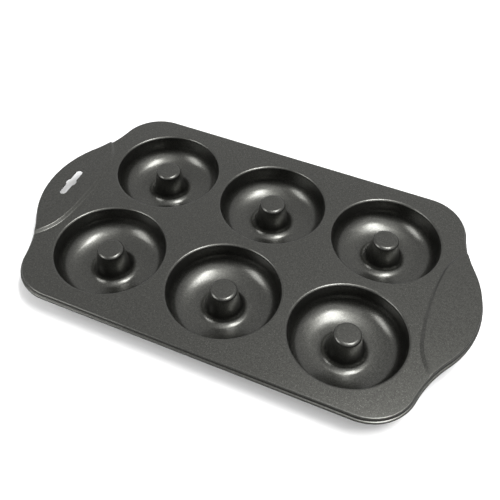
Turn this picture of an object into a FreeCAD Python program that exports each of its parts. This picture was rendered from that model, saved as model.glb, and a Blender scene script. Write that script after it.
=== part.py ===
"""Six-cup doughnut pan, pressed from one steel sheet with a rolled edge.

Millimetres. X runs along the pan from handle to handle, Y across it, Z up.
The pan stands on the flat rings under its cups, which lie at z = 0, and the
origin is the middle of its footprint. The shape is worked out with the top
of the deck at height 0 and lifted to its place at the end.
"""
import FreeCAD, Part
import math
import os
from dataclasses import dataclass

Vector = FreeCAD.Vector
UP = Vector(0, 0, 1)

# Sheet
SHEET = 0.7                  # steel with its coating

# Cups: a ring-shaped hollow round a middle post
COLUMNS = 3
ROWS = 2
CUP_PITCH = 98.0             # middle to middle, along and across
MOUTH_RADIUS = 45.5          # where the deck starts to turn down
MOUTH_ROUND = 2.0
CUP_DEPTH = 24.7             # top of the deck to top of the cup floor
WALL_DRAFT = math.radians(4.5)
WALL_FOOT_ROUND = 14.5       # between the wall and the floor
FLOOR_ROUND = 34.0           # the floor rises gently from the flat ring...
FLOOR_RISE = math.radians(21.0)     # ...to this slope
POST_RADIUS = 10.7           # at its top, over the rounding
POST_TOP_ROUND = 2.8
POST_DRAFT = math.radians(9.0)
POST_FOOT_ROUND = 7.0

# Outline, over the rolled edge
PAN_LENGTH = 369.0
PAN_WIDTH = 220.0
CORNER_ROUND = 33.5          # to the flat of the deck, as are the next two
WAIST_ROUND = 102.0          # hollow between corner and handle
HANDLE_ROUND = 80.0
HANDLE_SPREAD = math.radians(33.0)

# Rolled edge, from the deck down
EDGE_ROUND = 1.2
SKIRT_STRAIGHT = 1.2
SKIRT_TURN = 0.5             # the sheet turns out again before it rolls under
ROLL_RADIUS = 1.1
ROLL_SWEEP = math.radians(225.0)

# Raised pad on each handle
PAD_RISE = 2.1
PAD_SLOPE = math.radians(40.0)
PAD_ROUND = 1.5              # top and foot of its slope
PAD_INSET = 143.9            # foot of the slope from the middle of the pan
PAD_ARC = 230.0              # the foot runs in a flat arc...
PAD_ARC_REACH = 34.0         # ...to this far from the middle line
PAD_END_ARC = 48.0           # and in a tighter one from there to the edge
PAD_END_SPREAD = math.radians(65.0)

# Hanging hole in the left handle: a slot with a round hole in its middle
HANG_INSET = 165.5
HANG_SLOT_LENGTH = 30.6
HANG_SLOT_WIDTH = 5.6
HANG_HOLE_RADIUS = 5.15

SKIRT_FOOT = -(EDGE_ROUND + SKIRT_STRAIGHT)
EDGE_REACH = EDGE_ROUND + SKIRT_TURN + ROLL_RADIUS
HALF_LENGTH = PAN_LENGTH / 2 - EDGE_REACH
HALF_WIDTH = PAN_WIDTH / 2 - EDGE_REACH
MARGIN = 1.0                 # overshoot of a cutter past what it cuts
TOUCH = 1e-6                 # ends nearer than this meet
ON_LINE = 1e-3               # an edge nearer than this lies on the outline


def heading(angle):
    """Unit vector in the plane of the deck."""
    return Vector(math.cos(angle), math.sin(angle), 0)


def side_point(x, z):
    """Point of a section, drawn in the XZ plane."""
    return Vector(x, 0, z)


def section_arc(centre, radius, start, end):
    """Arc of a section round centre, from one angle to the other."""
    middle = (start + end) / 2
    ends = [centre + side_point(radius * math.cos(a), radius * math.sin(a))
            for a in (start, middle, end)]
    return Part.Arc(*ends).toShape()


def closed_section(curves):
    """Face inside curves that follow each other, straight lines filling the gaps."""
    edges = []
    for curve, following in zip(curves, curves[1:] + curves[:1]):
        edges.append(curve)
        start = curve.Vertexes[-1].Point
        end = following.Vertexes[0].Point
        if (end - start).Length > TOUCH:
            edges.append(Part.makeLine(start, end))
    return Part.Face(Part.Wire(edges))


@dataclass(frozen=True)
class Bend:
    """Round stretch of the outline.

    start and end are the directions that its outward side faces. A hollow
    stretch has a negative radius, and its centre lies outside the pan.
    """

    centre: Vector
    radius: float
    start: float
    end: float

    def point(self, angle, offset):
        return self.centre + heading(angle) * (self.radius + offset)

    def edge(self, offset):
        angles = (self.start, (self.start + self.end) / 2, self.end)
        return Part.Arc(*[self.point(a, offset) for a in angles]).toShape()

    def sweep(self, section):
        placed = section.copy()
        placed.Placement = FreeCAD.Placement(
            self.point(self.start, 0), FreeCAD.Rotation(UP, math.degrees(self.start)))
        return placed.revolve(self.centre, UP, math.degrees(self.end - self.start))

    def half_turn(self):
        return Bend(self.centre * -1, self.radius, self.start + math.pi, self.end + math.pi)


@dataclass(frozen=True)
class Straight:
    """Straight stretch of the outline, whose outward side faces one direction."""

    start: Vector
    end: Vector
    facing: float

    def edge(self, offset):
        aside = heading(self.facing) * offset
        return Part.makeLine(self.start + aside, self.end + aside)

    def sweep(self, section):
        placed = section.copy()
        placed.Placement = FreeCAD.Placement(
            self.start, FreeCAD.Rotation(UP, math.degrees(self.facing)))
        return placed.extrude(self.end - self.start)

    def half_turn(self):
        return Straight(self.start * -1, self.end * -1, self.facing + math.pi)


def mirrored(bend):
    """The same bend on the other end of the pan, still run anticlockwise."""
    centre = Vector(-bend.centre.x, bend.centre.y, 0)
    return Bend(centre, bend.radius, math.pi - bend.end, math.pi - bend.start)


def outline():
    """Stretches round the flat of the deck, anticlockwise from the right handle."""
    handle_centre = Vector(HALF_LENGTH - HANDLE_ROUND, 0, 0)
    waist_centre = handle_centre + heading(HANDLE_SPREAD) * (HANDLE_ROUND + WAIST_ROUND)
    apart = WAIST_ROUND + CORNER_ROUND
    corner_y = HALF_WIDTH - CORNER_ROUND
    corner_start = math.asin((waist_centre.y - corner_y) / apart)
    corner_centre = waist_centre - heading(corner_start) * apart

    handle = Bend(handle_centre, HANDLE_ROUND, -HANDLE_SPREAD, HANDLE_SPREAD)
    waist = Bend(waist_centre, -WAIST_ROUND, HANDLE_SPREAD, corner_start)
    corner = Bend(corner_centre, CORNER_ROUND, corner_start, math.pi / 2)
    side = Straight(Vector(corner_centre.x, HALF_WIDTH, 0),
                    Vector(-corner_centre.x, HALF_WIDTH, 0), math.pi / 2)
    half = [handle, waist, corner, side, mirrored(corner), mirrored(waist)]
    return half + [stretch.half_turn() for stretch in half]


def block(stretches, offset, bottom, top):
    """Solid inside the outline, moved out by offset, between two heights."""
    wire = Part.Wire([stretch.edge(offset) for stretch in stretches])
    wire.translate(Vector(0, 0, bottom))
    return Part.Face(wire).extrude(UP * (top - bottom))


@dataclass(frozen=True)
class PadArc:
    """Part of the pad's foot line: an arc round a centre beyond the handle."""

    centre: Vector
    radius: float
    start: float
    end: float

    def sector(self, bottom, depth):
        """Pad inside this arc down to bottom, its top lowered by depth."""
        section = pad_section(self.radius, bottom, depth)
        placement = FreeCAD.Rotation(UP, math.degrees(self.start))
        section.Placement = FreeCAD.Placement(self.centre, placement)
        return section.revolve(self.centre, UP, math.degrees(self.end - self.start))

    def footprint(self, bottom, top):
        """Upright wedge inside the foot line."""
        corners = [self.centre + heading(a) * self.radius
                   for a in (self.start, (self.start + self.end) / 2, self.end)]
        sides = [Part.makeLine(self.centre, corners[0]),
                 Part.Arc(*corners).toShape(),
                 Part.makeLine(corners[2], self.centre)]
        wire = Part.Wire(sides)
        wire.translate(Vector(0, 0, bottom))
        return Part.Face(wire).extrude(UP * (top - bottom))


def pad_section(radius, bottom, depth):
    """Section of the pad from its foot at radius inwards, lowered by depth.

    The slope leaves the deck in a hollow round and meets the pad's top in a
    full one. Both keep their centres when the sheet's underside is drawn, so
    the sheet is equally thick throughout.
    """
    foot_centre = side_point(radius, PAD_ROUND)
    both_rounds = 2 * PAD_ROUND
    climb = PAD_RISE - both_rounds * (1 - math.cos(PAD_SLOPE))
    run = both_rounds * math.sin(PAD_SLOPE) + climb / math.tan(PAD_SLOPE)
    crest_centre = side_point(radius - run, PAD_RISE - PAD_ROUND)
    foot = section_arc(foot_centre, PAD_ROUND + depth,
                       -math.pi / 2, -math.pi / 2 - PAD_SLOPE)
    crest = section_arc(crest_centre, PAD_ROUND - depth,
                        math.pi / 2 - PAD_SLOPE, math.pi / 2)
    axis = Part.makeLine(side_point(0, PAD_RISE - depth), side_point(0, bottom))
    wall = Part.makeLine(side_point(radius, bottom), side_point(radius, -depth))
    return closed_section([foot, crest, axis, wall])


def pad_arcs():
    """Foot line of the right-hand pad: a tight arc, a flat one, a tight one."""
    middle = Vector(PAD_INSET + PAD_ARC, 0, 0)
    turn = math.asin(PAD_ARC_REACH / PAD_ARC)
    arcs = [PadArc(middle, PAD_ARC, math.pi - turn, math.pi + turn)]
    upper = middle + heading(math.pi - turn) * (PAD_ARC - PAD_END_ARC)
    arcs.append(PadArc(upper, PAD_END_ARC, math.pi - PAD_END_SPREAD, math.pi - turn))
    lower = middle + heading(math.pi + turn) * (PAD_ARC - PAD_END_ARC)
    arcs.append(PadArc(lower, PAD_END_ARC, math.pi + turn, math.pi + PAD_END_SPREAD))
    return arcs


def on_both_handles(shape):
    """The shape made for the right handle, and its half turn on the left one."""
    turned = shape.copy()
    turned.rotate(Vector(0, 0, 0), UP, 180)
    return [shape, turned]


def rounded_block(stretches, offset, bottom, depth, edge_round):
    """Deck with its pads as a solid block, its top edge rounded all round."""
    arcs = pad_arcs()
    top = PAD_RISE + MARGIN
    wedge = arcs[0].footprint(bottom - MARGIN, top)
    wedge = wedge.fuse([arc.footprint(bottom - MARGIN, top) for arc in arcs[1:]])
    pad = arcs[0].sector(bottom, depth)
    pad = pad.fuse([arc.sector(bottom, depth) for arc in arcs[1:]]).removeSplitter()
    pad = pad.common(block(stretches, offset, bottom, top))
    deck = block(stretches, offset, bottom, -depth).cut(on_both_handles(wedge))
    whole = deck.fuse(on_both_handles(pad)).removeSplitter()
    return whole.makeFillet(edge_round, top_edges(whole, stretches, offset, bottom))


def top_edges(solid, stretches, offset, bottom):
    """Edges where the top of the block meets its upright sides."""
    wall = Part.Wire([stretch.edge(offset) for stretch in stretches])
    found = []
    for edge in solid.Edges:
        middle = edge.valueAt((edge.FirstParameter + edge.LastParameter) / 2)
        ends = [vertex.Point for vertex in edge.Vertexes]
        upright = len(ends) == 2 and (ends[1] - ends[0]).cross(UP).Length < ON_LINE
        if upright or middle.z < bottom + MARGIN / 2:
            continue
        plan = Part.Vertex(middle.x, middle.y, 0)
        if wall.distToShape(plan)[0] < ON_LINE:
            found.append(edge)
    return found


def pressed_deck(stretches):
    """Deck, pads, rounded edge and straight skirt, equally thick throughout."""
    outer = rounded_block(stretches, EDGE_ROUND, SKIRT_FOOT, 0, EDGE_ROUND)
    inner = rounded_block(stretches, EDGE_ROUND - SHEET, SKIRT_FOOT - MARGIN, SHEET,
                          EDGE_ROUND - SHEET)
    return outer.cut(inner)


def roll_section():
    """Section of the edge below the skirt: out, down and under in a roll."""
    turn_centre = side_point(EDGE_ROUND + SKIRT_TURN, SKIRT_FOOT)
    roll_centre = turn_centre - side_point(0, SKIRT_TURN + ROLL_RADIUS)
    top = math.pi / 2
    tail = top - ROLL_SWEEP
    return closed_section([
        section_arc(turn_centre, SKIRT_TURN, math.pi, math.pi * 1.5),
        section_arc(roll_centre, ROLL_RADIUS, top, tail),
        section_arc(roll_centre, ROLL_RADIUS - SHEET, tail, top),
        section_arc(turn_centre, SKIRT_TURN + SHEET, math.pi * 1.5, math.pi)])


def rolled_edge(stretches):
    """Roll along the whole outline, one swept piece for each stretch."""
    section = roll_section()
    pieces = [stretch.sweep(section) for stretch in stretches]
    return pieces[0].fuse(pieces[1:])


def cup_section():
    """Section of a cup from the axis of its post to the mouth, one sheet thick."""
    floor_z = -CUP_DEPTH
    top_z = -POST_TOP_ROUND
    crown = side_point(POST_RADIUS - POST_TOP_ROUND, top_z)
    foot_z = floor_z + POST_FOOT_ROUND
    side_top = crown + side_point(POST_TOP_ROUND * math.cos(POST_DRAFT),
                                  POST_TOP_ROUND * math.sin(POST_DRAFT))
    side_drop = side_top.z - foot_z + POST_FOOT_ROUND * math.sin(POST_DRAFT)
    foot = side_point(side_top.x + side_drop * math.tan(POST_DRAFT)
                      + POST_FOOT_ROUND * math.cos(POST_DRAFT), foot_z)

    mouth = side_point(MOUTH_RADIUS, -MOUTH_ROUND)
    rise_z = floor_z + FLOOR_ROUND
    tighter = FLOOR_ROUND - WALL_FOOT_ROUND
    bowl_z = rise_z - tighter * math.cos(FLOOR_RISE)
    wall_top = mouth - side_point(MOUTH_ROUND * math.cos(WALL_DRAFT),
                                  -MOUTH_ROUND * math.sin(WALL_DRAFT))
    wall_drop = wall_top.z - bowl_z + WALL_FOOT_ROUND * math.sin(WALL_DRAFT)
    bowl = side_point(wall_top.x - wall_drop * math.tan(WALL_DRAFT)
                      - WALL_FOOT_ROUND * math.cos(WALL_DRAFT), bowl_z)
    rise = side_point(bowl.x - tighter * math.sin(FLOOR_RISE), rise_z)

    down = -math.pi / 2
    risen = down + FLOOR_RISE
    upper = [
        Part.makeLine(side_point(0, 0), side_point(crown.x, 0)),
        section_arc(crown, POST_TOP_ROUND, math.pi / 2, POST_DRAFT),
        section_arc(foot, POST_FOOT_ROUND, POST_DRAFT - math.pi, down),
        section_arc(rise, FLOOR_ROUND, down, risen),
        section_arc(bowl, WALL_FOOT_ROUND, risen, -WALL_DRAFT),
        section_arc(mouth, MOUTH_ROUND, math.pi - WALL_DRAFT, math.pi / 2)]
    lower = [
        section_arc(mouth, MOUTH_ROUND - SHEET, math.pi / 2, math.pi - WALL_DRAFT),
        section_arc(bowl, WALL_FOOT_ROUND + SHEET, -WALL_DRAFT, risen),
        section_arc(rise, FLOOR_ROUND + SHEET, risen, down),
        section_arc(foot, POST_FOOT_ROUND + SHEET, down, POST_DRAFT - math.pi),
        section_arc(crown, POST_TOP_ROUND - SHEET, POST_DRAFT, math.pi / 2),
        Part.makeLine(side_point(crown.x, -SHEET), side_point(0, -SHEET))]
    return closed_section(upper + lower)


def cup_centres():
    """Middles of the cups, a grid round the middle of the pan."""
    return [Vector((column - (COLUMNS - 1) / 2) * CUP_PITCH,
                   (row - (ROWS - 1) / 2) * CUP_PITCH, 0)
            for row in range(ROWS) for column in range(COLUMNS)]


def cups():
    """All the cups, each turned from the same section."""
    cup = cup_section().revolve(Vector(0, 0, 0), UP, 360)
    return [cup.translated(centre) for centre in cup_centres()]


def cup_openings():
    """Cutters for the round holes in the deck that the cups fill."""
    drop = MARGIN - SKIRT_FOOT
    return [Part.makeCylinder(MOUTH_RADIUS, drop + MARGIN, centre - UP * drop)
            for centre in cup_centres()]


def hanging_hole():
    """Cutter for the left handle: a round-ended slot across the middle of a hole."""
    height = 2 * (PAD_RISE + SHEET + MARGIN)
    base = Vector(-HANG_INSET, 0, -height / 2)
    end_radius = HANG_SLOT_WIDTH / 2
    reach = HANG_SLOT_LENGTH / 2 - end_radius
    bar = Part.makeBox(HANG_SLOT_WIDTH, 2 * reach, height,
                       base - Vector(end_radius, reach, 0))
    ends = [Part.makeCylinder(end_radius, height, base + Vector(0, side * reach, 0))
            for side in (-1, 1)]
    middle = Part.makeCylinder(HANG_HOLE_RADIUS, height, base)
    return bar.fuse(ends + [middle]).removeSplitter()


def pan():
    """The whole pan, standing on z = 0."""
    stretches = outline()
    deck = pressed_deck(stretches).cut(cup_openings() + [hanging_hole()])
    shape = deck.fuse([rolled_edge(stretches)] + cups()).removeSplitter()
    shape.translate(UP * (CUP_DEPTH + SHEET))
    return shape.Solids[0]


os.makedirs("parts", exist_ok=True)
pan().exportStep("parts/pan.step")
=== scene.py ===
"""Six-cup doughnut pan of pressed steel with a grey non-stick coating, in a plain pale studio.

The sheet's upper side is drawn as one open surface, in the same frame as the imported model, and
gets its thickness at the end. All sizes are in metres, the pan's written as millimetres times MM.
"""

import logging
import math
from dataclasses import dataclass, replace
from enum import Enum

import bmesh
import bpy
from mathutils import Matrix, Vector


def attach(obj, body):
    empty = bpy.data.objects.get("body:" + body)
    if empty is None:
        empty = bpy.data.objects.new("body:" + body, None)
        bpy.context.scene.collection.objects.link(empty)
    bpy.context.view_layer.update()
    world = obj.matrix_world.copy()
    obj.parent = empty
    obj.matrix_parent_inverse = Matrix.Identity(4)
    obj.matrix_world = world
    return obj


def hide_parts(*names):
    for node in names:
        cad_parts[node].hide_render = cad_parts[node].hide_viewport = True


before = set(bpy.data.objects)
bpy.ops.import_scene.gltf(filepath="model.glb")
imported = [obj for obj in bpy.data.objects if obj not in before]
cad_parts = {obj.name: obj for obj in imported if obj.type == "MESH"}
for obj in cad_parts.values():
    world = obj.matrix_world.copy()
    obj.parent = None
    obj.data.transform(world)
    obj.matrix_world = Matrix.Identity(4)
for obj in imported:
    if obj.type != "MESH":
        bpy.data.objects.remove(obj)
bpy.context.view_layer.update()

MM = 0.001
UP = Vector((0, 0, 1))
QUARTER = math.pi / 2
MERGE = 0.01 * MM            # corners nearer than this are one corner
NOISE_MIDDLE = 0.5           # what an even noise varies about

log = logging.getLogger("doughnut_pan")


class Handle(Enum):
    """Which end of the pan a handle is on, as its direction along X."""

    LEFT = -1
    RIGHT = 1


class Face(Enum):
    """Side of the sheet, as its place in the piece's list of materials."""

    COOKING = 0
    UNDER = 1


def heading(angle: float) -> Vector:
    """Returns the unit vector in the plane of the deck that points along angle."""
    return Vector((math.cos(angle), math.sin(angle), 0))


def only(kind: type, items: list) -> list:
    """Returns the items of one kind, such as the corners out of corners and edges."""
    return [item for item in items if isinstance(item, kind)]


def swing(mesh: bmesh.types.BMesh, geom: list, centre: Vector, angle: float, steps: int) -> list:
    """Draws corners and edges on round an upright axis.

    Args:
        mesh: Mesh that holds them.
        geom: The corners and edges.
        centre: Point of the axis.
        angle: How far they go round, anticlockwise.
        steps: In how many steps.

    Returns:
        The corners and edges that they end as.
    """
    return bmesh.ops.spin(mesh, geom=geom, cent=centre, axis=UP, angle=angle, steps=steps,
                          use_merge=False, use_duplicate=False)["geom_last"]


def data_of(mesh: bmesh.types.BMesh, name: str) -> bpy.types.Mesh:
    """Turns a drawn mesh into data that an object can have.

    Args:
        mesh: Mesh that is used up.
        name: Name of the data.

    Returns:
        The data.
    """
    data = bpy.data.meshes.new(name)
    mesh.to_mesh(data)
    mesh.free()
    return data


def move_into(whole: bmesh.types.BMesh, part: bmesh.types.BMesh) -> None:
    """Moves all of one mesh into another.

    Args:
        whole: Mesh that takes the part.
        part: Mesh that is used up.
    """
    carrier = data_of(part, "carrier")
    whole.from_mesh(carrier)
    bpy.data.meshes.remove(carrier)


def put(name: str, data: bpy.types.ID) -> bpy.types.Object:
    """Puts a new object into the scene.

    Args:
        name: Name of the object.
        data: Its mesh, light or camera.

    Returns:
        The object, at the origin.
    """
    made = bpy.data.objects.new(name, data)
    bpy.context.scene.collection.objects.link(made)
    return made


class Pencil:
    """Draws a chain of edges in the XZ plane, stretch by stretch."""

    def __init__(self, mesh: bmesh.types.BMesh, x: float, z: float) -> None:
        """Puts the pencil down.

        Args:
            mesh: Mesh that takes the edges.
            x: Where the chain starts, along X.
            z: Where the chain starts, along Z.
        """
        self.mesh = mesh
        self.tip = bmesh.ops.create_vert(mesh, co=(x, 0, z))["vert"][0]
        self.verts = [self.tip]
        self.edges: list[bmesh.types.BMEdge] = []

    def line(self, x: float, z: float) -> None:
        """Draws one straight edge.

        Args:
            x: Where it ends, along X.
            z: Where it ends, along Z.
        """
        made = bmesh.ops.extrude_vert_indiv(self.mesh, verts=[self.tip])
        end = made["verts"][0]
        bmesh.ops.translate(self.mesh, verts=[end], vec=Vector((x, 0, z)) - end.co)
        self._add(made["verts"], made["edges"])

    def arc(self, x: float, z: float, radius: float, start: float, end: float, steps: int) -> None:
        """Draws an arc, after a straight edge to its start where the tip is elsewhere.

        Args:
            x: Its centre, along X.
            z: Its centre, along Z.
            radius: Its radius.
            start: Direction from the centre to its start, anticlockwise from +X.
            end: Direction from the centre to its end.
            steps: Number of edges.
        """
        centre = Vector((x, 0, z))
        first = centre + radius * Vector((math.cos(start), 0, math.sin(start)))
        if (first - self.tip.co).length > MERGE:
            self.line(first.x, first.z)
        known = set(self.mesh.edges)
        corners = set(self.mesh.verts)
        made = bmesh.ops.spin(
            self.mesh, geom=[self.tip], cent=centre, axis=(0, -1, 0), angle=end - start,
            steps=steps, use_merge=False, use_duplicate=False)
        edges = [edge for edge in self.mesh.edges if edge not in known]
        verts = [vert for vert in self.mesh.verts if vert not in corners]
        tips = only(bmesh.types.BMVert, made["geom_last"])
        self._add([vert for vert in verts if vert is not tips[0]] + tips, edges)

    def _add(self, verts: list, edges: list) -> None:
        """Takes new corners and edges into the chain.

        Args:
            verts: The corners, of which the last is the new tip.
            edges: The edges.
        """
        self.verts += verts
        self.edges += edges
        self.tip = verts[-1]


@dataclass(frozen=True)
class Bend:
    """Round stretch of the outline, run anticlockwise round the pan.

    start and end are the directions that its outward side faces. A hollow stretch has a
    negative radius. stops are directions at which it has to have a corner.
    """

    centre: Vector
    radius: float
    start: float
    end: float
    stops: tuple[float, ...] = ()

    def point(self, angle: float) -> Vector:
        """Returns the point whose outward side faces angle."""
        return self.centre + self.radius * heading(angle)

    def facing(self, point: Vector) -> float:
        """Returns the direction that the outward side faces at a point of the stretch."""
        out = (point - self.centre) / self.radius
        return math.atan2(out.y, out.x)

    def mirrored(self) -> "Bend":
        """Mirrors the bend in the plane across the middle of the pan.

        Returns:
            The same bend on the other end.
        """
        centre = Vector((-self.centre.x, self.centre.y, 0))
        stops = tuple(math.pi - stop for stop in self.stops)
        return Bend(centre, self.radius, math.pi - self.end, math.pi - self.start, stops)

    def half_turn(self) -> "Bend":
        """Returns the bend after half a turn of the pan."""
        stops = tuple(stop + math.pi for stop in self.stops)
        return Bend(-self.centre, self.radius, self.start + math.pi, self.end + math.pi, stops)

    def sweep(self, mesh: bmesh.types.BMesh, section: list, step: float) -> list:
        """Draws the section on along the stretch.

        Args:
            mesh: Mesh that holds the section.
            section: Corners and edges of the section at the start of the stretch.
            step: About how far apart the drawn sections are.

        Returns:
            The corners and edges of the section at the end of the stretch.
        """
        angles = sorted({self.start, self.end, *self.stops}, reverse=self.end < self.start)
        for first, last in zip(angles, angles[1:]):
            turn = last - first
            steps = max(1, round(abs(turn * self.radius) / step))
            section = swing(mesh, section, self.centre, turn, steps)
        return section


@dataclass(frozen=True)
class Straight:
    """Straight stretch of the outline."""

    start: Vector
    end: Vector

    def half_turn(self) -> "Straight":
        """Returns the stretch after half a turn of the pan."""
        return Straight(-self.start, -self.end)

    def sweep(self, mesh: bmesh.types.BMesh, section: list, step: float) -> list:
        """Draws the section on along the stretch.

        Args:
            mesh: Mesh that holds the section.
            section: Corners and edges of the section at the start of the stretch.
            step: Not needed, because a straight stretch has no sections between its ends.

        Returns:
            The corners and edges of the section at the end of the stretch.
        """
        edges = only(bmesh.types.BMEdge, section)
        made = bmesh.ops.extrude_edge_only(mesh, edges=edges)["geom"]
        verts = only(bmesh.types.BMVert, made)
        bmesh.ops.translate(mesh, verts=verts, vec=self.end - self.start)
        return verts + only(bmesh.types.BMEdge, made)


@dataclass(frozen=True)
class RolledEdge:
    """Rounded edge of the deck, short skirt, and bead rolled out and under it."""

    edge_round: float = 1.2 * MM
    skirt_straight: float = 1.2 * MM
    skirt_turn: float = 0.5 * MM
    roll_radius: float = 1.1 * MM
    roll_sweep: float = math.radians(225)
    round_steps: int = 6
    turn_steps: int = 4
    roll_steps: int = 14

    @property
    def skirt_foot(self) -> float:
        """Height at which the skirt turns out, from the top of the deck."""
        return -(self.edge_round + self.skirt_straight)

    @property
    def reach(self) -> float:
        """How far the bead stands out from the flat of the deck."""
        return self.edge_round + self.skirt_turn + self.roll_radius

    def section(self, mesh: bmesh.types.BMesh) -> Pencil:
        """Draws the section of the edge, outwards from the flat of the deck at X = 0.

        Args:
            mesh: Mesh that takes the section.

        Returns:
            The pencil, which knows the section's corners and edges.
        """
        pencil = Pencil(mesh, 0, 0)
        pencil.arc(0, -self.edge_round, self.edge_round, QUARTER, 0, self.round_steps)
        turn_x = self.edge_round + self.skirt_turn
        pencil.arc(turn_x, self.skirt_foot, self.skirt_turn,
                   math.pi, math.pi + QUARTER, self.turn_steps)
        roll_z = self.skirt_foot - self.skirt_turn - self.roll_radius
        pencil.arc(turn_x, roll_z, self.roll_radius,
                   QUARTER, QUARTER - self.roll_sweep, self.roll_steps)
        return pencil


@dataclass(frozen=True)
class Outline:
    """Edge of the flat deck: rounded corners, hollow waists and a bulged handle at each end."""

    length: float = 369.0 * MM
    width: float = 220.0 * MM
    corner_round: float = 33.5 * MM
    waist_round: float = 102.0 * MM
    handle_round: float = 80.0 * MM
    handle_spread: float = math.radians(33)
    step: float = 1.8 * MM       # about how far apart its corners are

    def handle(self, reach: float) -> Bend:
        """Works out the bulged stretch round the right handle.

        Args:
            reach: How far the rolled edge stands out from the flat of the deck.

        Returns:
            The stretch.
        """
        centre = Vector((self.length / 2 - reach - self.handle_round, 0, 0))
        return Bend(centre, self.handle_round, -self.handle_spread, self.handle_spread)

    def waist(self, reach: float) -> Bend:
        """Works out the hollow stretch between the right handle and the back corner.

        Args:
            reach: How far the rolled edge stands out from the flat of the deck.

        Returns:
            The stretch, without stops.
        """
        apart = self.handle_round + self.waist_round
        centre = self.handle(reach).centre + heading(self.handle_spread) * apart
        corner_y = self.width / 2 - reach - self.corner_round
        end = math.asin((centre.y - corner_y) / (self.waist_round + self.corner_round))
        return Bend(centre, -self.waist_round, self.handle_spread, end)

    def stretches(self, reach: float, crossings: list[Vector]) -> list[Bend | Straight]:
        """Works out the stretches, anticlockwise from the right handle.

        Args:
            reach: How far the rolled edge stands out from the flat of the deck.
            crossings: Points of the back right waist that need a corner.

        Returns:
            Bends and straights that follow each other all round.
        """
        waist = self.waist(reach)
        waist = replace(waist, stops=tuple(waist.facing(point) for point in crossings))
        apart = self.waist_round + self.corner_round
        corner_centre = waist.centre - heading(waist.end) * apart
        corner = Bend(corner_centre, self.corner_round, waist.end, QUARTER)
        ahead = corner.point(QUARTER)
        side = Straight(ahead, Vector((-ahead.x, ahead.y, 0)))
        half = [self.handle(reach), waist, corner, side, corner.mirrored(), waist.mirrored()]
        return half + [stretch.half_turn() for stretch in half]


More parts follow.
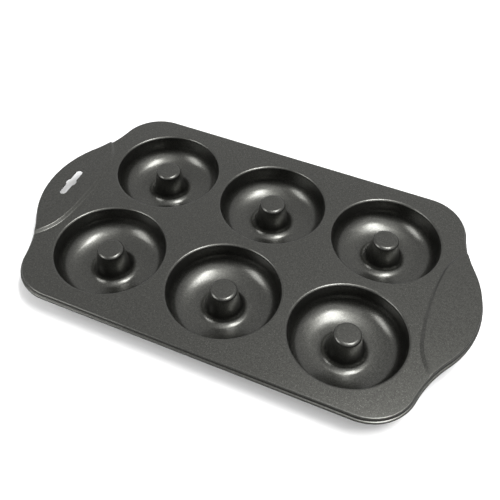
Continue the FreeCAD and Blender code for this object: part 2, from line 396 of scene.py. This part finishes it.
@dataclass(frozen=True)
class HandlePad:
    """Raised pad on a handle, with a sloped step along a curved inner line.

    The foot of the step is a flat arc that runs into a tighter one towards each end. All its
    arcs have their centres beyond the handle, so the lines of the step are arcs too.
    """

    rise: float = 2.1 * MM
    slope: float = math.radians(46)
    step_round: float = 1.1 * MM
    inset: float = 144.2 * MM
    arc: float = 230.0 * MM
    arc_reach: float = 34.0 * MM
    end_arc: float = 48.0 * MM
    round_steps: int = 5
    arc_steps: int = 28
    end_steps: int = 22

    @property
    def run(self) -> float:
        """How wide the step is, from its foot to the flat of the pad."""
        climb = self.rise - 2 * self.step_round * (1 - math.cos(self.slope))
        return 2 * self.step_round * math.sin(self.slope) + climb / math.tan(self.slope)

    @property
    def turn(self) -> float:
        """Half the angle of the flat arc."""
        return math.asin(self.arc_reach / self.arc)

    @property
    def centre(self) -> Vector:
        """Centre of the flat arc of the right-hand pad."""
        return Vector((self.inset + self.arc, 0, 0))

    @property
    def end_centre(self) -> Vector:
        """Centre of the tighter arc at the back of the right-hand pad."""
        return self.centre + heading(math.pi - self.turn) * (self.arc - self.end_arc)

    def depths(self) -> list[float]:
        """Works out where the lines of the step lie.

        Returns:
            The distance of each line in from the foot of the step.
        """
        angles = [self.slope * i / self.round_steps for i in range(self.round_steps + 1)]
        foot = [self.step_round * math.sin(angle) for angle in angles]
        return foot + [self.run - depth for depth in reversed(foot)]

    def height(self, depth: float) -> float:
        """Works out how high the sheet stands above the deck.

        Args:
            depth: Distance in from the foot of the step, negative outside the pad.

        Returns:
            The height, from nothing on the deck to the full rise on the pad.
        """
        bend = self.step_round * math.sin(self.slope)
        inner = min(depth, self.run - depth)
        if inner < bend:
            across = max(inner, 0)
            climbed = self.step_round - math.sqrt(self.step_round ** 2 - across ** 2)
        else:
            climbed = (self.step_round * (1 - math.cos(self.slope))
                       + (inner - bend) * math.tan(self.slope))
        return climbed if depth < self.run / 2 else self.rise - climbed

    def depth_at(self, point: Vector) -> float:
        """Measures how far in from the foot of the nearer pad's step a point lies.

        Args:
            point: Point of the deck, whose height is ignored.

        Returns:
            The distance, negative on the deck outside the pad.
        """
        spot = Vector((abs(point.x), abs(point.y), 0))
        from_centre = spot - self.centre
        angle = math.pi - math.atan2(from_centre.y, from_centre.x)
        if angle < self.turn:
            return self.arc - from_centre.length
        return self.end_arc - (spot - self.end_centre).length

    def crossing(self, waist: Bend, depth: float) -> Vector:
        """Finds where a line of the step meets the outline, at the back of the right-hand pad.

        Args:
            waist: Stretch of the outline that the line meets.
            depth: Distance of the line in from the foot of the step.

        Returns:
            The point, from the two circles' radii and the distance of their centres.
        """
        radius = self.end_arc - depth
        apart = waist.centre - self.end_centre
        along = (apart.length_squared + radius ** 2 - waist.radius ** 2) / (2 * apart.length)
        aside = math.sqrt(radius ** 2 - along ** 2)
        ahead = apart.normalized()
        left = Vector((-ahead.y, ahead.x, 0))
        return self.end_centre + ahead * along + left * aside

    def crossings(self, waist: Bend) -> list[Vector]:
        """Returns where each line of the step meets the outline."""
        return [self.crossing(waist, depth) for depth in self.depths()]

    def step(self, waist: Bend, handle: Handle) -> bmesh.types.BMesh:
        """Draws the lines of one pad's step on the flat deck, with faces between them.

        Args:
            waist: Stretch of the outline that the lines meet.
            handle: Which pad it is.

        Returns:
            A mesh of the step alone, flat.
        """
        mesh = bmesh.new()
        rows = [self._line(mesh, back) for back in self.crossings(waist)]
        for outer, inner in zip(rows, rows[1:]):
            bmesh.ops.bridge_loops(mesh, edges=outer + inner)
        if handle is Handle.LEFT:
            bmesh.ops.rotate(mesh, cent=(0, 0, 0), matrix=Matrix.Rotation(math.pi, 3, "Z"),
                             verts=mesh.verts)
        return mesh

    def _line(self, mesh: bmesh.types.BMesh, back: Vector) -> list:
        """Draws one line of the step from outline to outline.

        Args:
            mesh: Mesh that takes the line.
            back: Where the line meets the outline at the back of the right-hand pad.

        Returns:
            The edges of the line.
        """
        front = Vector((back.x, -back.y, 0))
        from_centre = back - self.end_centre
        sweep = math.atan2(from_centre.y, from_centre.x) + self.turn - math.pi
        mirrored_centre = Vector((self.end_centre.x, -self.end_centre.y, 0))
        arcs = [(mirrored_centre, sweep, self.end_steps),
                (self.centre, -2 * self.turn, self.arc_steps),
                (self.end_centre, sweep, self.end_steps)]
        known = set(mesh.edges)
        tip = bmesh.ops.create_vert(mesh, co=front)["vert"]
        for centre, angle, steps in arcs:
            tip = swing(mesh, tip, centre, angle, steps)
        return [edge for edge in mesh.edges if edge not in known]

    def lift(self, mesh: bmesh.types.BMesh, lowest: float) -> None:
        """Presses both pads up out of the flat deck.

        Args:
            mesh: Mesh of the whole sheet with a flat deck.
            lowest: Corners lower than this stay where they are.
        """
        for vert in mesh.verts:
            depth = self.depth_at(vert.co)
            if depth > 0 and vert.co.z > lowest:
                vert.co.z += self.height(depth)


@dataclass(frozen=True)
class HangingSlot:
    """Slot with a round hole across its middle, through the left-hand pad."""

    inset: float = 165.0 * MM
    length: float = 30.1 * MM
    width: float = 5.7 * MM
    hole_radius: float = 4.4 * MM
    end_steps: int = 20
    side_steps: int = 16

    def loop(self) -> bmesh.types.BMesh:
        """Draws the slot's edge, flat on the deck.

        Returns:
            A mesh of the closed loop alone.
        """
        middle = Vector((-self.inset, 0, 0))
        end_radius = self.width / 2
        reach = self.length / 2 - end_radius
        mouth = math.acos(end_radius / self.hole_radius)
        mesh = bmesh.new()
        start = middle + self.hole_radius * heading(-mouth)
        tip = bmesh.ops.create_vert(mesh, co=start)["vert"]
        for half in (1, -1):
            tip = self._arc(mesh, tip, middle, 2 * mouth, self.side_steps)
            tip = self._line(mesh, tip, middle + half * Vector((end_radius, reach, 0)))
            end_centre = middle + half * Vector((0, reach, 0))
            tip = self._arc(mesh, tip, end_centre, math.pi, self.end_steps)
            tip = self._line(mesh, tip, middle - half * (start - middle))
        return mesh

    @staticmethod
    def _arc(mesh: bmesh.types.BMesh, tip: list, centre: Vector, angle: float,
             steps: int) -> list:
        """Draws an arc on from the tip, and returns the new tip."""
        return only(bmesh.types.BMVert, swing(mesh, tip, centre, angle, steps))

    @staticmethod
    def _line(mesh: bmesh.types.BMesh, tip: list, end: Vector) -> list:
        """Draws a straight edge on from the tip.

        Args:
            mesh: Mesh that takes the edge.
            tip: The corner where it starts, alone in a list.
            end: Where it ends.

        Returns:
            The new tip, alone in a list.
        """
        made = bmesh.ops.extrude_vert_indiv(mesh, verts=tip)["verts"]
        bmesh.ops.translate(mesh, verts=made, vec=end - made[0].co)
        return made


@dataclass(frozen=True)
class Cup:
    """Ring-shaped cup round a middle post whose flat top is level with the deck."""

    columns: int = 3
    rows: int = 2
    pitch: float = 98.0 * MM
    mouth_radius: float = 45.5 * MM
    mouth_round: float = 2.0 * MM
    depth: float = 24.7 * MM
    wall_draft: float = math.radians(4.5)
    wall_foot_round: float = 14.5 * MM
    floor_round: float = 34.0 * MM
    floor_rise: float = math.radians(21)
    post_radius: float = 10.7 * MM
    post_top_round: float = 2.8 * MM
    post_draft: float = math.radians(9)
    post_foot_round: float = 7.0 * MM
    turn_steps: int = 96
    mouth_steps: int = 8
    wall_steps: int = 12
    floor_steps: int = 5
    foot_steps: int = 10
    top_steps: int = 8

    def centres(self) -> list[Vector]:
        """Returns the middles of the cups, a grid round the middle of the pan."""
        return [Vector(((column - (self.columns - 1) / 2) * self.pitch,
                        (row - (self.rows - 1) / 2) * self.pitch, 0))
                for row in range(self.rows) for column in range(self.columns)]

    def form(self) -> bmesh.types.BMesh:
        """Spins one cup and copies it to every place.

        Returns:
            A mesh of the cups alone.
        """
        mesh = bmesh.new()
        pencil = self._section(mesh)
        crown = pencil.verts[0].co.x
        bmesh.ops.spin(mesh, geom=pencil.verts + pencil.edges, cent=(0, 0, 0), axis=UP,
                       angle=math.tau, steps=self.turn_steps, use_merge=True,
                       use_duplicate=False)
        bmesh.ops.remove_doubles(mesh, verts=mesh.verts, dist=MERGE)
        ring = [edge for edge in mesh.edges
                if edge.is_boundary and edge.verts[0].co.length < crown + MERGE]
        bmesh.ops.contextual_create(mesh, geom=ring)
        cup = mesh.verts[:] + mesh.edges[:] + mesh.faces[:]
        first, *others = self.centres()
        for centre in others:
            made = bmesh.ops.duplicate(mesh, geom=cup)["geom"]
            bmesh.ops.translate(mesh, verts=only(bmesh.types.BMVert, made), vec=centre)
        bmesh.ops.translate(mesh, verts=only(bmesh.types.BMVert, cup), vec=first)
        return mesh

    def _section(self, mesh: bmesh.types.BMesh) -> Pencil:
        """Draws the section of a cup, from the edge of the post's flat top to the mouth.

        Args:
            mesh: Mesh that takes the section.

        Returns:
            The pencil, which knows the section's corners and edges.
        """
        crown_x = self.post_radius - self.post_top_round
        crown_z = -self.post_top_round
        foot_z = self.post_foot_round - self.depth
        post_rounds = self.post_top_round + self.post_foot_round
        drop = crown_z + post_rounds * math.sin(self.post_draft) - foot_z
        foot_x = (crown_x + post_rounds * math.cos(self.post_draft)
                  + drop * math.tan(self.post_draft))
        rise_z = self.floor_round - self.depth
        tighter = self.floor_round - self.wall_foot_round
        bowl_z = rise_z - tighter * math.cos(self.floor_rise)
        wall_rounds = self.mouth_round + self.wall_foot_round
        climb = wall_rounds * math.sin(self.wall_draft) - self.mouth_round - bowl_z
        bowl_x = (self.mouth_radius - wall_rounds * math.cos(self.wall_draft)
                  - climb * math.tan(self.wall_draft))
        rise_x = bowl_x - tighter * math.sin(self.floor_rise)
        risen = self.floor_rise - QUARTER

        pencil = Pencil(mesh, crown_x, 0)
        pencil.arc(crown_x, crown_z, self.post_top_round,
                   QUARTER, self.post_draft, self.top_steps)
        pencil.arc(foot_x, foot_z, self.post_foot_round,
                   self.post_draft - math.pi, -QUARTER, self.foot_steps)
        pencil.arc(rise_x, rise_z, self.floor_round, -QUARTER, risen, self.floor_steps)
        pencil.arc(bowl_x, bowl_z, self.wall_foot_round,
                   risen, -self.wall_draft, self.wall_steps)
        pencil.arc(self.mouth_radius, -self.mouth_round, self.mouth_round,
                   math.pi - self.wall_draft, QUARTER, self.mouth_steps)
        return pencil


class Signal:
    """Output of a shader node that Python sums can use."""

    def __init__(self, graph: "Graph", socket: bpy.types.NodeSocket) -> None:
        """Wraps a socket.

        Args:
            graph: Graph that new nodes go to.
            socket: The output that carries the value.
        """
        self.graph = graph
        self.socket = socket

    def _math(self, operation: str, *values: "Signal | float") -> "Signal":
        """Adds a Math node and returns its output."""
        return self.graph.node("ShaderNodeMath", {"operation": operation, "use_clamp": False},
                               dict(enumerate(values)))

    def __add__(self, other: "Signal | float") -> "Signal":
        """Returns the sum."""
        return self._math("ADD", self, other)

    def __radd__(self, other: float) -> "Signal":
        """Returns the sum."""
        return self._math("ADD", other, self)

    def __sub__(self, other: "Signal | float") -> "Signal":
        """Returns the difference."""
        return self._math("SUBTRACT", self, other)

    def __rsub__(self, other: float) -> "Signal":
        """Returns the difference."""
        return self._math("SUBTRACT", other, self)

    def __mul__(self, other: "Signal | float") -> "Signal":
        """Returns the product."""
        return self._math("MULTIPLY", self, other)

    def __rmul__(self, other: float) -> "Signal":
        """Returns the product."""
        return self._math("MULTIPLY", other, self)

    def at_least(self, other: "Signal | float") -> "Signal":
        """Returns the larger of the two."""
        return self._math("MAXIMUM", self, other)


class Graph:
    """Node tree of a material or of the world."""

    def __init__(self, tree: bpy.types.NodeTree) -> None:
        """Empties a node tree.

        Args:
            tree: The tree that takes the nodes.
        """
        self.tree = tree
        tree.nodes.clear()

    def node(self, kind: str, settings: dict, inputs: dict, output: str | int = 0) -> Signal:
        """Adds a node.

        Args:
            kind: Type of the node.
            settings: Its properties, set first. A list of stops fills a ramp.
            inputs: Values or signals for its sockets, by name or place.
            output: Which of its outputs is wanted.

        Returns:
            The wanted output.
        """
        made = self.tree.nodes.new(kind)
        for name, value in settings.items():
            if name == "stops":
                self._fill(made.color_ramp, value)
            else:
                setattr(made, name, value)
        for name, value in inputs.items():
            if isinstance(value, Signal):
                self.tree.links.new(value.socket, made.inputs[name])
            else:
                made.inputs[name].default_value = value
        return Signal(self, made.outputs[output] if made.outputs else None)

    @staticmethod
    def _fill(ramp: bpy.types.ColorRamp, stops: list[tuple[float, float]]) -> None:
        """Sets a ramp's two stops.

        Args:
            ramp: The ramp.
            stops: Place and brightness of each stop, which is grey.
        """
        for element, (place, grey) in zip(ramp.elements, stops):
            element.position = place
            element.color = (grey, grey, grey, 1.0)

    def noise(self, grain: float, detail: float = 2.0) -> Signal:
        """Adds an even noise in the piece's own coordinates.

        Args:
            grain: Size of its grains.
            detail: How many finer layers it has.

        Returns:
            A value that varies about a half.
        """
        place = self.node("ShaderNodeTexCoord", {}, {}, "Object")
        return self.node("ShaderNodeTexNoise", {"noise_dimensions": "3D"},
                         {"Vector": place, "Scale": 1 / grain, "Detail": detail}, "Fac")

    def mix(self, share: "Signal | float", first: "Signal | tuple",
            second: "Signal | tuple") -> Signal:
        """Returns a colour between two, by share."""
        return self.node("ShaderNodeMix", {"data_type": "RGBA"},
                         {"Factor": share, "A": first, "B": second}, "Result")


def rgba(red: float, green: float, blue: float) -> tuple[float, float, float, float]:
    """Returns an opaque colour."""
    return red, green, blue, 1.0


@dataclass(frozen=True)
class Coating:
    """Grey non-stick coating: dark, with metal flake, a fine pebble and a few pale flecks."""

    name: str
    dark: tuple[float, float, float, float]
    pale: tuple[float, float, float, float]
    fleck: tuple[float, float, float, float]
    roughness: float
    roughness_spread: float
    flake: float                 # how much of the look is the metal flake's
    gloss: float                 # weight of the smooth skin over the flake
    gloss_roughness: float
    pebble: float                # height of the pebble in the coating
    pebble_grain: float = 0.7 * MM
    mottle_grain: float = 1.5 * MM
    mottle_detail: float = 3.0
    fleck_grain: float = 0.45 * MM
    fleck_detail: float = 1.0
    fleck_edge: tuple[float, float] = (0.62, 0.70)  # where in its noise a fleck starts and is full
    cloud_grain: float = 35.0 * MM

    def material(self) -> bpy.types.Material:
        """Builds the material.

        Returns:
            The finished material.
        """
        made = bpy.data.materials.new(self.name)
        made.use_nodes = True
        graph = Graph(made.node_tree)
        mottle = graph.noise(self.mottle_grain, self.mottle_detail)
        pebble = graph.noise(self.pebble_grain)
        cloud = graph.noise(self.cloud_grain)
        start, full = self.fleck_edge
        flecks = graph.node("ShaderNodeValToRGB", {"stops": [(start, 0.0), (full, 1.0)]},
                            {"Fac": graph.noise(self.fleck_grain, self.fleck_detail)})
        body = graph.mix(mottle, self.dark, self.pale)
        colour = graph.mix(flecks, body, self.fleck)
        spread = self.roughness_spread
        roughness = (self.roughness + spread * (cloud - NOISE_MIDDLE)
                     + spread * (mottle - NOISE_MIDDLE))
        bump = graph.node("ShaderNodeBump", {},
                          {"Strength": 1.0, "Distance": self.pebble, "Height": pebble})
        shader = graph.node("ShaderNodeBsdfPrincipled", {},
                            {"Base Color": colour, "Metallic": self.flake,
                             "Roughness": roughness, "Normal": bump,
                             "Coat Weight": self.gloss,
                             "Coat Roughness": self.gloss_roughness})
        graph.node("ShaderNodeOutputMaterial", {}, {"Surface": shader})
        return made


COATINGS = {
    Face.COOKING: Coating(
        name="grey_non_stick", dark=rgba(0.026, 0.026, 0.0235), pale=rgba(0.084, 0.084, 0.076),
        fleck=rgba(0.13, 0.13, 0.118), roughness=0.31, roughness_spread=0.04, flake=1.0,
        gloss=0.5, gloss_roughness=0.215, pebble=0.005 * MM),
    Face.UNDER: Coating(
        name="dull_non_stick", dark=rgba(0.048, 0.048, 0.044), pale=rgba(0.072, 0.072, 0.066),
        fleck=rgba(0.10, 0.10, 0.092), roughness=0.46, roughness_spread=0.06, flake=0.9,
        gloss=0.2, gloss_roughness=0.40, pebble=0.010 * MM)}


@dataclass(frozen=True)
class Pan:
    """The whole pan, one pressed sheet."""

    sheet: float = 0.7 * MM
    cup: Cup = Cup()
    outline: Outline = Outline()
    edge: RolledEdge = RolledEdge()
    pad: HandlePad = HandlePad()
    slot: HangingSlot = HangingSlot()
    burr: float = 0.12 * MM      # rounding of the cut edges
    burr_steps: int = 2
    burr_from: float = math.radians(50)     # an edge that turns more than this is a cut one
    flat_lead: int = 100         # how far large faces lead in the shading, 50 being evenly

    def build(self) -> bpy.types.Object:
        """Builds and dresses the pan, puts it on the root body and hides the imported one.

        Returns:
            The finished piece.
        """
        waist = self.outline.waist(self.edge.reach)
        steps = [self.pad.step(waist, handle) for handle in Handle]
        mesh = self._rolled_edge(waist)
        for part in (self.cup.form(), self.slot.loop(), *steps):
            move_into(mesh, part)
        bmesh.ops.remove_doubles(mesh, verts=mesh.verts, dist=MERGE)
        self._fill_deck(mesh)
        self.pad.lift(mesh, -self.edge.edge_round - MERGE)
        self._face_up(mesh)
        bmesh.ops.translate(mesh, verts=mesh.verts, vec=UP * (self.cup.depth + self.sheet))
        piece = self._piece(mesh)
        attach(piece, "root")
        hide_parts("pan")
        return piece

    def _rolled_edge(self, waist: Bend) -> bmesh.types.BMesh:
        """Draws the rolled edge along the whole outline.

        Args:
            waist: Stretch of the outline that the pads' steps meet.

        Returns:
            A mesh of the rolled edge alone.
        """
        mesh = bmesh.new()
        stretches = self.outline.stretches(self.edge.reach, self.pad.crossings(waist))
        pencil = self.edge.section(mesh)
        first = stretches[0]
        place = Matrix.Translation(first.point(first.start)) @ Matrix.Rotation(first.start, 4, "Z")
        bmesh.ops.transform(mesh, matrix=place, verts=pencil.verts)
        section = pencil.verts + pencil.edges
        for stretch in stretches:
            section = stretch.sweep(mesh, section, self.outline.step)
        return mesh

    def _fill_deck(self, mesh: bmesh.types.BMesh) -> None:
        """Fills the flat of the deck and of both pads, round the cups and the slot.

        Args:
            mesh: Mesh of cups, rolled edge, steps and slot, with nothing yet pressed up.
        """
        flat = [edge for edge in mesh.edges if (edge.is_boundary or edge.is_wire)
                and all(abs(vert.co.z) < MERGE for vert in edge.verts)]
        deck = []
        pads: dict[Handle, list] = {handle: [] for handle in Handle}
        for edge in flat:
            middle = (edge.verts[0].co + edge.verts[1].co) / 2
            if self.pad.depth_at(middle) < self.pad.run / 2:
                deck.append(edge)
            else:
                pads[Handle.RIGHT if middle.x > 0 else Handle.LEFT].append(edge)
        for edges in (deck, *pads.values()):
            bmesh.ops.triangle_fill(mesh, use_beauty=True, use_dissolve=False,
                                    edges=edges, normal=UP)

    @staticmethod
    def _face_up(mesh: bmesh.types.BMesh) -> None:
        """Makes every face look to the cooking side, the deck's faces upwards.

        Args:
            mesh: Mesh of the whole sheet.
        """
        bmesh.ops.recalc_face_normals(mesh, faces=mesh.faces)
        widest = max(mesh.faces, key=lambda face: face.calc_area())
        if widest.normal.z < 0:
            bmesh.ops.reverse_faces(mesh, faces=mesh.faces)

    def _piece(self, mesh: bmesh.types.BMesh) -> bpy.types.Object:
        """Makes the object, gives the sheet its thickness and dresses it.

        Args:
            mesh: Upper side of the sheet, in place.

        Returns:
            The object, at the origin.
        """
        for face in mesh.faces:
            face.smooth = True
        piece = put("pressed_sheet", data_of(mesh, "pressed_sheet"))
        for face in Face:
            piece.data.materials.append(COATINGS[face].material())

        wall = piece.modifiers.new("sheet", "SOLIDIFY")
        wall.thickness = self.sheet
        wall.offset = -1             # all of it below the drawn side
        wall.use_even_offset = True
        wall.use_rim = True
        wall.material_offset = Face.UNDER.value
        burr = piece.modifiers.new("burr", "BEVEL")
        burr.width = self.burr
        burr.segments = self.burr_steps
        burr.limit_method = "ANGLE"
        burr.angle_limit = self.burr_from
        shade = piece.modifiers.new("flat_faces_lead", "WEIGHTED_NORMAL")
        shade.mode = "FACE_AREA"
        shade.weight = self.flat_lead
        return piece


@dataclass(frozen=True)
class Lamp:
    """Soft box that looks at the pan. Directions are as seen from the pan's middle."""

    name: str
    azimuth: float               # from the front, -Y, towards +X
    elevation: float
    turn: float                  # about the line to the pan, 0 with the width level
    distance: float
    width: float
    height: float
    brightness: float            # 1 is white

    def hang(self) -> bpy.types.Object:
        """Hangs the lamp in the studio.

        Returns:
            The lamp.
        """
        light = bpy.data.lights.new(self.name, "AREA")
        light.shape = "RECTANGLE"
        light.size = self.width
        light.size_y = self.height
        light.energy = math.pi * self.width * self.height * self.brightness
        made = put(self.name, light)
        towards = direction(self.azimuth, self.elevation)
        made.location = towards * self.distance
        aim = towards.to_track_quat("Z", "Y").to_matrix()
        made.rotation_euler = (aim @ Matrix.Rotation(self.turn, 3, "Z")).to_euler()
        return made


def direction(azimuth: float, elevation: float) -> Vector:
    """Works out a unit vector.

    Args:
        azimuth: Angle from the front of the pan, -Y, towards +X.
        elevation: Angle above the floor.

    Returns:
        The vector from the pan's middle.
    """
    level = math.cos(elevation)
    return Vector((math.sin(azimuth) * level, -math.cos(azimuth) * level, math.sin(elevation)))


@dataclass(frozen=True)
class Camera:
    """Camera at the photograph's viewing angle."""

    azimuth: float = math.radians(22.41)
    elevation: float = math.radians(49.78)
    distance: float = 540.9 * MM
    target: tuple[float, float, float] = (3.04 * MM, -5.84 * MM, 25.4 * MM)
    roll: float = math.radians(1.28)
    focal_pixels: float = 687.5
    image_pixels: float = 500.0
    sensor_width: float = 36.0   # millimetres, as the camera's own unit
    nearest: float = 10 * MM     # what is nearer isn't drawn

    def place(self) -> bpy.types.Object:
        """Sets the camera up.

        Returns:
            The camera.
        """
        data = bpy.data.cameras.new("camera")
        data.sensor_width = self.sensor_width
        data.lens = self.focal_pixels / self.image_pixels * self.sensor_width
        data.clip_start = self.nearest
        made = put("camera", data)
        back = direction(self.azimuth, self.elevation)
        level = UP.cross(back).normalized()
        upright = back.cross(level)
        right = level * math.cos(self.roll) + upright * math.sin(self.roll)
        up = upright * math.cos(self.roll) - level * math.sin(self.roll)
        turn = Matrix((right, up, back)).transposed().to_4x4()
        made.matrix_world = Matrix.Translation(Vector(self.target) + back * self.distance) @ turn
        return made


@dataclass(frozen=True)
class Studio:
    """Pale floor, pale surroundings, soft boxes and the camera."""

    floor_size: float = 6.0
    floor_colour: tuple[float, float, float, float] = rgba(0.97, 0.97, 0.97)
    # colour the pan mirrors the floor with: a painted, dimmer reflection that darkens the skirt
    # and the crease under the edge
    floor_reflection_painted_dim: tuple[float, float, float, float] = rgba(0.42, 0.42, 0.42)
    surround: float = 0.30       # brightness of the surroundings as a light
    mirrored: float = 0.834      # their mean brightness in the pan
    lean: tuple[float, float, float] = (0.004, 0.218, -0.077)  # which way that grows, how far
    lamps: tuple[Lamp, ...] = (
        Lamp("overhead_box", azimuth=math.radians(97), elevation=math.radians(72),
             turn=math.radians(26), distance=1.97, width=1.220, height=0.454, brightness=22.0),
        Lamp("side_box", azimuth=math.radians(-49.5), elevation=math.radians(38),
             turn=math.radians(-28.5), distance=1.41, width=0.861, height=0.513, brightness=6.4),
        Lamp("front_box", azimuth=math.radians(61), elevation=math.radians(60),
             turn=math.radians(36), distance=1.00, width=1.17, height=1.19, brightness=1.20))

    def build(self) -> None:
        """Builds the studio and points the scene at its camera."""
        self._floor()
        self._world()
        for lamp in self.lamps:
            lamp.hang()
            log.info("lamp %s", lamp.name)
        bpy.context.scene.camera = Camera().place()
        bpy.context.scene.view_settings.view_transform = "Standard"

    def _floor(self) -> None:
        """Lays the floor, which the pan mirrors about as pale as the surroundings, by way of a
        painted, dimmer reflection of it that darkens the skirt and the crease under the edge.
        """
        mesh = bmesh.new()
        bmesh.ops.create_grid(mesh, x_segments=1, y_segments=1, size=self.floor_size / 2)
        floor = put("floor", data_of(mesh, "floor"))
        paint = bpy.data.materials.new("pale_floor")
        paint.use_nodes = True
        graph = Graph(paint.node_tree)
        # painted reflection: glossy rays see the floor darker than the camera does
        glossy = graph.node("ShaderNodeLightPath", {}, {}, "Is Glossy Ray")
        colour = graph.mix(glossy, self.floor_colour, self.floor_reflection_painted_dim)
        shader = graph.node("ShaderNodeBsdfDiffuse", {}, {"Color": colour})
        graph.node("ShaderNodeOutputMaterial", {}, {"Surface": shader})
        floor.data.materials.append(paint)

    def _world(self) -> None:
        """Lights the surroundings, plain white to the camera and pale in reflections."""
        world = bpy.data.worlds.new("surroundings")
        bpy.context.scene.world = world
        world.use_nodes = True
        graph = Graph(world.node_tree)
        rays = ("Is Camera Ray", "Is Glossy Ray", "Is Transmission Ray")
        camera, glossy, through = (
            graph.node("ShaderNodeLightPath", {}, {}, ray) for ray in rays)
        towards = graph.node("ShaderNodeTexCoord", {}, {}, "Generated")
        leaning = graph.node("ShaderNodeVectorMath", {"operation": "DOT_PRODUCT"},
                             {0: towards, 1: self.lean}, "Value")
        mirrored = self.mirrored + leaning
        lit = self.surround + (mirrored - self.surround) * glossy.at_least(through)
        strength = lit + (1.0 - lit) * camera
        glow = graph.node("ShaderNodeBackground", {},
                          {"Color": rgba(1.0, 1.0, 1.0), "Strength": strength})
        graph.node("ShaderNodeOutputWorld", {}, {"Surface": glow})


def main() -> None:
    """Builds the pan and the studio."""
    logging.basicConfig(level=logging.INFO, format="%(name)s: %(message)s")
    piece = Pan().build()
    log.info("piece %s, %d faces before its thickness", piece.name, len(piece.data.polygons))
    Studio().build()


if __name__ == "__main__":
    main()
